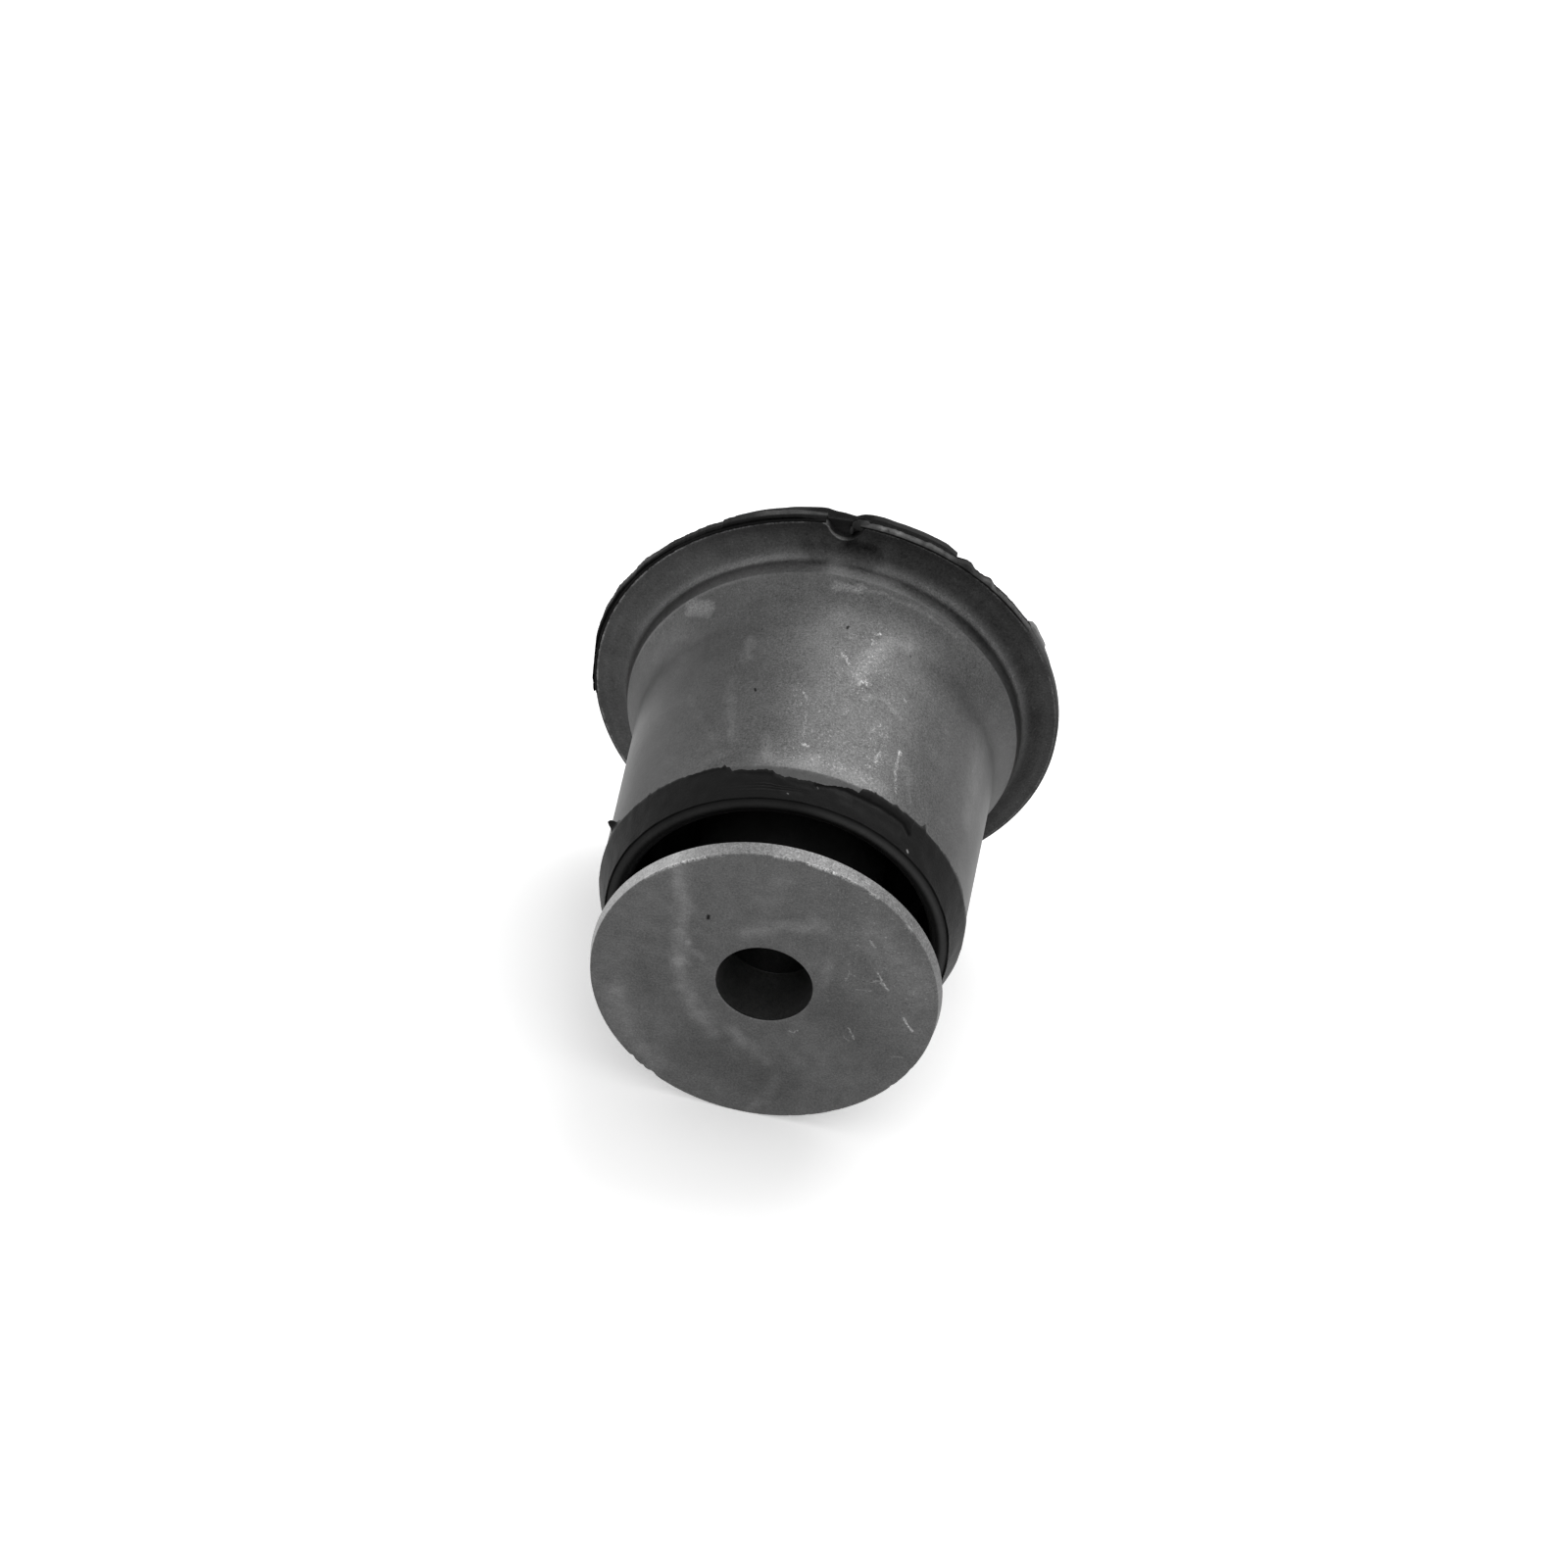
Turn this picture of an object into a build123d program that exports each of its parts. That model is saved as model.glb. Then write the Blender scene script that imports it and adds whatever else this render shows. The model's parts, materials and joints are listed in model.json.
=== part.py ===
from build123d import *
from math import acos, asin, degrees
import os

# A flanged rubber-metal bush: a rubber body moulded between a drawn steel outer sleeve and a
# plain steel inner sleeve, with a turned steel plate pressed into the front end.
# It stands on the rear end of the inner sleeve, at z = 0, with the end plate on top.
# The axis is Z and the flange's notch faces -Y. Lengths are in millimetres. Angles are in
# degrees, counted from the notch towards +X.

# Inner sleeve
inner_radius = 12.5
inner_bore = 9.25
inner_chamfer = 0.6

# End plate, in one piece with the spigot that the inner sleeve is pressed on
plate_radius = 26.5
plate_thickness = 2.5
plate_edge_round = 0.3
plate_bore = 7.25
spigot_length = 8.2
spigot_chamfer = 0.5

# Outer sleeve, a drawn shell. Its wall is measured across the axis, and behind the flange.
barrel_radius = 27.5
barrel_length = 33.6
wall = 1.5
flare_length = 8.5
flare_rise = 2.4
band_length = 3.1
band_rise = 0.25
cove_height = 2.5
cove_width = 3.9
flange_flat = 1.45
flange_edge_round = 0.3
neck_depth = 0.3
neck_slope = 0.3
neck_length = 1.6
nose_length = 2.1
nose_rise = 1.0

# Notch in the flange's rim
notch_radius = 3.3
notch_corner = 0.9

# Rubber at the rear: stop pads on a thin coat behind the flange
sleeve_proud = 1.0
pad_height = 2.9
pad_inset = 1.0
pad_edge_round = 0.9
pad_gap = 20.0
short_pad = 60.0
coat_thickness = 0.5
coat_inset = 0.6
groove_width = 4.8
groove_depth = 0.75

# Rubber strip that wraps over the flange's rim, on one side of the notch
wrap_thickness = 0.6
wrap_edge = 0.25
wrap_start = 6.5
wrap_end = 99.0

# Rubber between the sleeves: a ring-shaped cavity at the front and a groove at the rear
hub_rubber = 1.5
rear_groove_width = 6.5
rear_groove_depth = 10.0
pad_land = 2.0
cavity_depth = 20.9
cavity_corner = 3.0
wall_rubber = 3.0

# Rubber at the front: a tapered skin and lip over the sleeve's nose, and a bead inside it
lip_cover = 1.8
lip_taper = 0.5
lip_taper_length = 2.8
lip_chamfer = 0.3
lip_width = 0.7
bead_radius = 1.4
bead_drop = 1.5
crease_drop = 0.9
hub_chamfer = 1.0

# Free travel between the rubber lip and the end plate
plate_gap = 9.1

# Heights above the rear end of the inner sleeve
rear_face = sleeve_proud + pad_height
flange_back = rear_face + coat_thickness
flange_front = flange_back + wall
shoulder_height = flange_front + cove_height
break_height = shoulder_height + band_length
barrel_start = break_height + flare_length
barrel_end = barrel_start + barrel_length
neck_height = barrel_end + neck_slope
nose_start = neck_height + neck_length
nose_height = nose_start + nose_length
lip_height = nose_height + lip_cover
inner_length = lip_height + plate_gap

# Radii of the outer sleeve, from the barrel outwards
break_radius = barrel_radius + flare_rise
shoulder_radius = break_radius + band_rise
flange_radius = shoulder_radius + cove_width + flange_flat
flare_radius = (flare_length ** 2 + flare_rise ** 2) / (2 * flare_rise)
cove_radius = (cove_width ** 2 + cove_height ** 2) / (2 * cove_height)

# Radii of the rubber body, from the inner sleeve outwards
hub_radius = inner_radius + hub_rubber
cavity_outer = barrel_radius - wall - wall_rubber
rear_groove_outer = hub_radius + rear_groove_width
pad_inner = rear_groove_outer + pad_land
pad_outer = flange_radius - pad_inset
coat_radius = flange_radius - coat_inset
wrap_radius = flange_radius + wrap_thickness


def sleeve_line(depth):
    # The sleeve's outline at a depth below its outer face, from the flange's rim to the nose.
    # The cove's arc ends in the flange's face, and the flare's arc in the barrel.
    cove_centre = (shoulder_radius + cove_width, flange_front + cove_radius)
    cove_angle = degrees(acos((shoulder_radius - depth - cove_centre[0]) / (cove_radius + depth)))
    flare_centre = (barrel_radius - depth + flare_radius, barrel_start)
    flare_angle = degrees(asin(flare_length / flare_radius))
    neck_radius = barrel_radius - depth - neck_depth
    cove = CenterArc(cove_centre, cove_radius + depth, 270, 90 - cove_angle)
    flange = Line((flange_radius, flange_front - depth), cove @ 0)
    flare = CenterArc(flare_centre, flare_radius, 180 + flare_angle, -flare_angle)
    band = Line(cove @ 1, flare @ 0)
    front = Polyline(
        flare @ 1,
        (barrel_radius - depth, barrel_end),
        (neck_radius, neck_height),
        (neck_radius, nose_start),
        (neck_radius - nose_rise, nose_height),
    )
    return [flange, cove, band, flare, front]


def revolved(section, turn=360.0, start=0.0):
    # A section in radius and height, turned about the axis from a given angle.
    return Rot(0, 0, start - 90) * revolve(Plane.XZ * section, Axis.Z, turn)


def outer_sleeve():
    outside = sleeve_line(0)
    inside = sleeve_line(wall)
    rim = Line(outside[0] @ 0, inside[0] @ 0)
    nose = Line(outside[-1] @ 1, inside[-1] @ 1)
    section = make_face(outside + inside + [rim, nose])
    section = fillet(section.vertices().sort_by(Axis.X)[-2:], flange_edge_round)
    plan = Circle(flange_radius) - Pos(0, -flange_radius) * Circle(notch_radius)
    plan = fillet(plan.vertices().sort_by(Axis.Y)[:2], notch_corner)
    return revolved(section) & extrude(plan, nose_height)


def moulding():
    # The rubber before the sleeve is cut out of it. Inside the shell its outline runs along
    # the middle of the sleeve's wall.
    middle = sleeve_line(wall / 2)
    skin_start = (barrel_radius - wall / 2, barrel_end)
    middle[-1] = Line(middle[-2] @ 1, skin_start)
    skin = Polyline(
        skin_start,
        (barrel_radius, barrel_end),
        (barrel_radius, lip_height - lip_chamfer - lip_taper_length),
        (barrel_radius - lip_taper, lip_height - lip_chamfer),
        (barrel_radius - lip_taper - lip_chamfer, lip_height),
        (barrel_radius - lip_taper - lip_width, lip_height - crease_drop),
    )
    bead_centre = (cavity_outer + bead_radius, lip_height - bead_drop)
    bead = ThreePointArc(
        (bead_centre[0] + bead_radius, bead_centre[1]),
        (bead_centre[0], bead_centre[1] + bead_radius),
        (cavity_outer, bead_centre[1]),
    )
    crease = Line(skin @ 1, bead @ 0)
    cavity = FilletPolyline(
        bead @ 1,
        (cavity_outer, lip_height - cavity_depth),
        (hub_radius, lip_height - cavity_depth),
        (hub_radius, lip_height),
        radius=[cavity_corner, cavity_corner],
    )
    hub = Polyline(
        cavity @ 1,
        (hub_radius - hub_chamfer, lip_height + hub_chamfer),
        (inner_radius, lip_height + hub_chamfer),
        (inner_radius, rear_face),
        (hub_radius, rear_face),
    )
    groove_end = rear_face + rear_groove_depth - rear_groove_width / 2
    groove = [
        Line(hub @ 1, (hub_radius, groove_end)),
        ThreePointArc(
            (hub_radius, groove_end),
            (hub_radius + rear_groove_width / 2, rear_face + rear_groove_depth),
            (rear_groove_outer, groove_end),
        ),
        Line((rear_groove_outer, groove_end), (rear_groove_outer, rear_face)),
    ]
    coat = Polyline(
        (rear_groove_outer, rear_face),
        (coat_radius, rear_face),
        (coat_radius, flange_back + wall / 2),
        middle[1] @ 0,
    )
    return revolved(make_face(middle[1:] + [skin, crease, bead, cavity, hub, *groove, coat]))


def stop_pad(centre, span):
    outline = Polyline(
        (pad_inner, sleeve_proud),
        (pad_outer, sleeve_proud),
        (pad_outer, flange_back),
        (pad_inner, flange_back),
        close=True,
    )
    pad = revolved(make_face(outline), span, centre - span / 2)
    rear = pad.faces().sort_by(Axis.Z)[0]
    return fillet(rear.edges(), pad_edge_round)


def rim_wrap():
    outline = Polyline(
        (pad_outer, rear_face),
        (flange_radius, rear_face),
        (wrap_radius, rear_face + wrap_edge),
        (wrap_radius, flange_front - wrap_edge),
        (wrap_radius - wrap_edge, flange_front),
        (flange_radius - wall / 2, flange_front),
        (flange_radius - wall / 2, flange_back),
        (pad_outer, flange_back),
        close=True,
    )
    return revolved(make_face(outline), wrap_end - wrap_start, wrap_start)


def rubber_body(sleeve):
    long_pad = 180 - short_pad - 2 * pad_gap
    body = moulding() + rim_wrap()
    for quarter in range(4):
        span = long_pad if quarter % 2 else short_pad
        body += stop_pad(90 * quarter, span)
    groove = Box(groove_width, 2 * (pad_inset + groove_depth), 2 * flange_back)
    body -= Pos(0, -flange_radius, 0) * groove
    return body - sleeve


def inner_sleeve():
    tube = Cylinder(inner_radius, inner_length, align=(Align.CENTER, Align.CENTER, Align.MIN))
    tube -= Cylinder(inner_bore, inner_length, align=(Align.CENTER, Align.CENTER, Align.MIN))
    rear = tube.faces().sort_by(Axis.Z)[0]
    front = tube.faces().sort_by(Axis.Z)[-1]
    return chamfer(rear.edges() + front.outer_wire().edges(), inner_chamfer)


def end_plate():
    plate = Cylinder(plate_radius, plate_thickness, align=(Align.CENTER, Align.CENTER, Align.MIN))
    plate = fillet(plate.edges().filter_by(GeomType.CIRCLE), plate_edge_round)
    spigot = Cylinder(inner_bore, spigot_length, align=(Align.CENTER, Align.CENTER, Align.MAX))
    tip = spigot.edges().filter_by(GeomType.CIRCLE).sort_by(Axis.Z)[0]
    plate += chamfer(tip, spigot_chamfer)
    plate -= Cylinder(plate_bore, 2 * (plate_thickness + spigot_length))
    return Pos(0, 0, inner_length) * plate


sleeve = outer_sleeve()
nodes = {
    "outer_sleeve": sleeve,
    "rubber_body": rubber_body(sleeve),
    "inner_sleeve": inner_sleeve(),
    "end_plate": end_plate(),
}

os.makedirs("parts", exist_ok=True)
for name, node in nodes.items():
    export_step(node, f"parts/{name}.step")
    print(name, "solids", len(node.solids()), "volume", round(node.volume, 1))
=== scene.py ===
import bmesh
import bpy
import json
import math
from mathutils import Matrix, Quaternion, Vector, noise


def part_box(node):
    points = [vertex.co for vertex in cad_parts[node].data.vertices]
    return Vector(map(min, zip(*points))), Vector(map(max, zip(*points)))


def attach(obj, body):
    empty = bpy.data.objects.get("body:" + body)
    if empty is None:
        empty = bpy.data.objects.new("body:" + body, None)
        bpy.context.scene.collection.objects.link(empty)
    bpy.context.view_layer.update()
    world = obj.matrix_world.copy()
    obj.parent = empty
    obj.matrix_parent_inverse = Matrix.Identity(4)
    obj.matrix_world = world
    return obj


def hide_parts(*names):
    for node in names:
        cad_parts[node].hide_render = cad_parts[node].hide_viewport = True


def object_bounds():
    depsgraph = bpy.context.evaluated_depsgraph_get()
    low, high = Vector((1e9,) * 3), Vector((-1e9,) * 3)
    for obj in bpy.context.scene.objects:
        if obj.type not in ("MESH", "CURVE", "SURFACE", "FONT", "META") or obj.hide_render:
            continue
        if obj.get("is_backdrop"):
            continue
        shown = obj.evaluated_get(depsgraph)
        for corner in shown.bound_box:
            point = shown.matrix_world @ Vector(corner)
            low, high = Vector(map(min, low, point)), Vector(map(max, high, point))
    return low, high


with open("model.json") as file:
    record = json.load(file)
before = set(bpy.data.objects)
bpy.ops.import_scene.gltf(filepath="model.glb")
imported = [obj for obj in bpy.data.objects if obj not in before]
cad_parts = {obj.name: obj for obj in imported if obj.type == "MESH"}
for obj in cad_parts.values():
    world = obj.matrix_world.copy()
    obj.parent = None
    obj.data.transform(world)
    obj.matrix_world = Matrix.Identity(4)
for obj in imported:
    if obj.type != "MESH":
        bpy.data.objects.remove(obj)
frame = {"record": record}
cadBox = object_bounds()
print("frame loaded")

# Lengths are in millimetres until a mesh is finished. Turns are in degrees, counted about
# the axis from the flange's notch (-Y) towards +X.
mm = 0.001
mounts = {mount["name"]: mount["dims"] for mount in frame["record"]["mounts"]}
barrelRadius = mounts["barrel"]["r_mm"]
boltRadius = mounts["bolt_bore"]["r_mm"]
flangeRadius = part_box("outer_sleeve")[1].x / mm
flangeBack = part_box("outer_sleeve")[0].z / mm
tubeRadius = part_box("inner_sleeve")[1].x / mm
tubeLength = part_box("inner_sleeve")[1].z / mm
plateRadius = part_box("end_plate")[1].x / mm
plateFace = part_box("end_plate")[1].z / mm
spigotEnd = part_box("end_plate")[0].z / mm
rubberLow, rubberHigh = (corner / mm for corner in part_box("rubber_body"))
padFoot, hubEnd = rubberLow.z, rubberHigh.z
sharpTurn = 32  # edges that turn by more than this shade sharp


def place(radius, height, turn):
    # a point at a turn about the axis
    angle = math.radians(turn)
    return Vector((radius * math.sin(angle), -radius * math.cos(angle), height))


def arc(centre, radius, first, last, steps):
    # points on an arc, angles in degrees up from the radius direction
    angles = [math.radians(first + (last - first) * step / steps) for step in range(steps + 1)]
    return [(centre[0] + radius * math.cos(a), centre[1] + radius * math.sin(a)) for a in angles]


def softened(corners, steps=6):
    # a closed outline from corners (radius, height, rounding), rounded where a rounding is given
    outline = []
    for index, corner in enumerate(corners):
        here = Vector(corner[:2])
        rounding = corner[2] if len(corner) > 2 else 0
        if not rounding:
            outline.append(tuple(here))
            continue
        toLast = (Vector(corners[index - 1][:2]) - here).normalized()
        toNext = (Vector(corners[(index + 1) % len(corners)][:2]) - here).normalized()
        half = toLast.angle(toNext) / 2
        centre = here + (toLast + toNext).normalized() * rounding / math.sin(half)
        first = here + toLast * rounding / math.tan(half) - centre
        last = here + toNext * rounding / math.tan(half) - centre
        spokes = [first.normalized().slerp(last.normalized(), step / steps) for step in range(steps + 1)]
        outline += [tuple(centre + spoke * rounding) for spoke in spokes]
    return outline


def divided(outline, longest, guard=0.12):
    # straight stretches get more points, with one close to each end so that flats shade flat
    fine = []
    for start, end in zip(outline, outline[1:] + outline[:1]):
        first, last = Vector(start), Vector(end)
        length = (last - first).length
        fine.append(tuple(first))
        if length > 4 * guard:
            count = max(1, math.ceil((length - 2 * guard) / longest))
            stops = [guard + (length - 2 * guard) * step / count for step in range(count + 1)]
            fine += [tuple(first.lerp(last, stop / length)) for stop in stops]
    return fine


def spun(outline, steps, start=0, turn=360):
    # a closed outline turned about the axis: one sector is spun, and the rest repeat it
    sectors = max(1, round(steps / 15))
    sector = math.radians(turn / sectors)
    bm = bmesh.new()
    verts = [bm.verts.new(place(radius, height, start)) for radius, height in outline]
    edges = [bm.edges.new(pair) for pair in zip(verts, verts[1:] + verts[:1])]
    bmesh.ops.spin(bm, geom=verts + edges, cent=(0, 0, 0), axis=(0, 0, 1),
                   angle=sector, steps=round(steps / sectors), use_merge=False)
    mesh = bpy.data.meshes.new("sector")
    bm.to_mesh(mesh)
    for _ in range(sectors - 1):
        mesh.transform(Matrix.Rotation(sector, 4, "Z"))
        bm.from_mesh(mesh)
    bpy.data.meshes.remove(mesh)
    bmesh.ops.remove_doubles(bm, verts=bm.verts, dist=0.0005)
    rims = [edge for edge in bm.edges if edge.is_boundary]
    bmesh.ops.holes_fill(bm, edges=rims, sides=0)
    bmesh.ops.recalc_face_normals(bm, faces=bm.faces)
    return bm


def turnOf(point):
    return math.degrees(math.atan2(point.x, -point.y))


def radiusOf(point):
    return math.hypot(point.x, point.y)


def pushed(vert, outwards, along=0):
    # moves a point of a turned mesh out from the axis, and along it
    radius = radiusOf(vert.co)
    vert.co.x *= (radius + outwards) / radius
    vert.co.y *= (radius + outwards) / radius
    vert.co.z += along


def boxed(vert):
    # keeps a point just inside the rubber solid's box
    vert.co.x = min(vert.co.x, rubberHigh.x - 0.02)
    vert.co.y = max(vert.co.y, rubberLow.y + 0.02)


def rough(turn, pitch, seed):
    # noise around a circle of radius 30, -1 to 1, with bumps about a pitch long
    spot = place(30, 0, turn) / pitch
    return noise.noise(Vector((spot.x, spot.y, seed * 7.31)))


def waves(turn, layers):
    # layers of that noise added up, each given as its pitch, size and seed
    return sum(size * rough(turn, pitch, seed) for pitch, size, seed in layers)


def hump(turn, centre, width):
    # a smooth rise and fall around a turn
    return math.exp(-((turn - centre) / width) ** 2)


def humps(turn, places):
    # smooth rises added up, each given as its turn, width and size
    return sum(size * hump(turn, centre, width) for centre, width, size in places)


def fade(value, low, high):
    # 0 at low, 1 at high, smooth between
    share = min(1, max(0, (value - low) / (high - low)))
    return share * share * (3 - 2 * share)


def between(points, turn):
    # the value at a turn on a line through points, or None past its ends
    for (first, low), (last, high) in zip(points, points[1:]):
        if first <= turn <= last:
            return low + (high - low) * (turn - first) / (last - first)
    return None


def added(name, data):
    # a new object in the scene
    made = bpy.data.objects.new(name, data)
    bpy.context.scene.collection.objects.link(made)
    return made


def meshed(name, bm):
    # a bmesh becomes a mesh object in the scene
    mesh = bpy.data.meshes.new(name)
    bm.to_mesh(mesh)
    bm.free()
    return added(name, mesh)


def finished(name, bm, finish, node=None):
    # a bmesh in millimetres becomes a piece of the bush
    bmesh.ops.scale(bm, vec=(mm, mm, mm), verts=bm.verts)
    for face in bm.faces:
        face.smooth = True
    piece = meshed(name, bm)
    piece.data.set_sharp_from_angle(angle=math.radians(sharpTurn))
    piece.data.materials.append(finish)
    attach(piece, "root")
    if node:
        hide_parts(node)


class Value:  # a socket that can be written in sums
    def __init__(self, finish, socket):
        self.finish = finish
        self.socket = socket

    def maths(self, operation, *terms):
        return self.finish.maths(operation, *terms)

    def __add__(self, other):
        return self.maths("ADD", self, other)

    def __radd__(self, other):
        return self.maths("ADD", other, self)

    def __sub__(self, other):
        return self.maths("SUBTRACT", self, other)

    def __rsub__(self, other):
        return self.maths("SUBTRACT", other, self)

    def __mul__(self, other):
        return self.maths("MULTIPLY", self, other)

    def __rmul__(self, other):
        return self.maths("MULTIPLY", other, self)

    def power(self, exponent):
        return self.maths("POWER", self, exponent)

    def larger(self, other):
        return self.maths("MAXIMUM", self, other)

    def smaller(self, other):
        return self.maths("MINIMUM", self, other)

    def step(self, low, high):  # 0 at low, 1 at high, smooth between
        return self.finish.node("MapRange", {"interpolation_type": "SMOOTHSTEP"},
                                {"Value": self, "From Min": low, "From Max": high})

    def within(self, start, low, high, end):  # 1 between low and high, 0 before start and past end
        return self.step(start, low) * self.step(end, high)

    def across(self, low, high, first, last):  # from the first value at low to the last at high
        return first + self.step(low, high) * (last - first)


class Finish:  # a material or the world, and its nodes
    def __init__(self, name, owner=None):
        self.owner = owner or bpy.data.materials.new(name)
        self.owner.use_nodes = True
        self.tree = self.owner.node_tree
        self.tree.nodes.clear()

    def node(self, kind, settings=None, sockets=None, output=0):
        made = self.tree.nodes.new(f"ShaderNode{kind}")
        for key, value in (settings or {}).items():
            setattr(made, key, value)
        for key, value in (sockets or {}).items():
            if isinstance(value, Value):
                self.tree.links.new(value.socket, made.inputs[key])
            else:
                made.inputs[key].default_value = value
        return Value(self, made.outputs[output]) if made.outputs else None

    def vector(self, operation, *terms, output="Vector"):
        return self.node("VectorMath", {"operation": operation}, dict(enumerate(terms)), output)

    def spot(self, x=1, y=1, z=1):
        # the place on the piece in millimetres, stretched along an axis where that is asked for
        here = self.node("TexCoord", output="Object")
        return self.vector("MULTIPLY", here, (x / mm, y / mm, z / mm))

    def axes(self, vector):
        split = self.node("SeparateXYZ", None, {"Vector": vector})
        return [Value(self, socket) for socket in split.socket.node.outputs]

    def noise(self, vector, scale, detail=2, roughness=0.5, output="Fac"):
        sockets = {"Vector": vector, "Scale": scale, "Detail": detail, "Roughness": roughness}
        return self.node("TexNoise", None, sockets, output)

    def wandering(self, spot, amount, scale):
        # a place pushed about, so that what is drawn there has ragged edges
        push = self.vector("SUBTRACT", self.noise(spot, scale, 3, output="Color"), (0.5, 0.5, 0.5))
        return self.vector("ADD", spot, self.vector("MULTIPLY", push, (amount, amount, amount)))

    def radius(self):
        # distance from the axis in millimetres
        return self.vector("LENGTH", self.spot(1, 1, 0), output="Value")

    def unrolled(self, radius):
        # the surface of a drum laid flat: millimetres around it, and the height
        x, y, z = self.axes(self.spot())
        around = self.maths("ARCTAN2", x, 0 - y) * radius
        return self.node("CombineXYZ", None, {"X": around, "Y": z})

    def rays(self, kind):
        # 1 for rays of a kind, 0 for others
        return self.node("LightPath", output=f"Is {kind} Ray")

    def maths(self, operation, *terms):
        return self.node("Math", {"operation": operation}, dict(enumerate(terms)))

    def stroke(self, spot, start, end, width):
        # 1 on the line between two points, falling to 0 a width away
        along = end - start
        offset = self.vector("SUBTRACT", spot, tuple(start))
        share = self.vector("DOT_PRODUCT", offset, tuple(along / along.length_squared), output="Value")
        share = share.larger(0).smaller(1)
        nearest = self.node("VectorMath", {"operation": "SCALE"}, {0: tuple(along), "Scale": share})
        return self.vector("DISTANCE", offset, nearest, output="Value").step(width, 0)

    def trails(self, spot, marks):
        # marks added up, each given as its width, how much lighter it is, and its points
        total = None
        for width, lift, *points in marks:
            points = [Vector(point).to_3d() for point in points]
            mark = None
            for start, end in zip(points, points[1:]):
                line = self.stroke(spot, start, end, width)
                mark = line if mark is None else mark.larger(line)
            total = mark * lift if total is None else total + mark * lift
        return total

    def bumped(self, height, depth):
        return self.node("Bump", None, {"Height": height, "Distance": depth * mm})

    def shaded(self, level, sockets):
        # a surface whose grey is a number that varies, 0 to 1, about as it looks on a screen
        share = level.larger(0.01).power(2.3)
        colour = self.node("Mix", {"data_type": "RGBA"}, {0: share, 6: grey(0), 7: grey(1)}, 2)
        surface = self.node("BsdfPrincipled", None, {"Base Color": colour, **sockets})
        self.node("OutputMaterial", None, {"Surface": surface})
        return self.owner


def grey(level):
    # a grey given as it looks on a screen, 0 to 1, as a shader colour
    light = ((level + 0.055) / 1.055) ** 2.4
    return (light, light, light, 1)


def onDrum(marks):
    # marks given by turn and height, as the unrolled barrel counts them
    laid = []
    for width, lift, *points in marks:
        points = [(math.radians(turn) * barrelRadius, height, 0) for turn, height in points]
        laid.append((width, lift, *points))
    return laid


sleeveLook = {
    "steps": 480, "wall": 1.5, "rimRounding": 0.28,
    "flangeFlat": 1.45,  # flat part of the flange's face, in from the rim
    "coveWidth": 3.9, "coveHeight": 2.5, "bandLength": 3.1, "flareLength": 8.5, "flareRise": 2.4,
    "creaseRounding": 3, "barrelEnd": 53, "noseEnd": 57.5, "noseSlope": 0.304, "notchRadius": 2.7,
    "notchCentre": 35.3,
    "notchCorners": (2.8, 1.5),  # roundings of the notch's corners, left and right
    "bulge": (12, 32, 0.3),  # the flange is pressed out at one side: from x, to x, and how far
    "bulgeFrom": (33, 34.8),  # radii between which the flange starts to follow it
}

flangeFront = flangeBack + sleeveLook["wall"]

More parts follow.
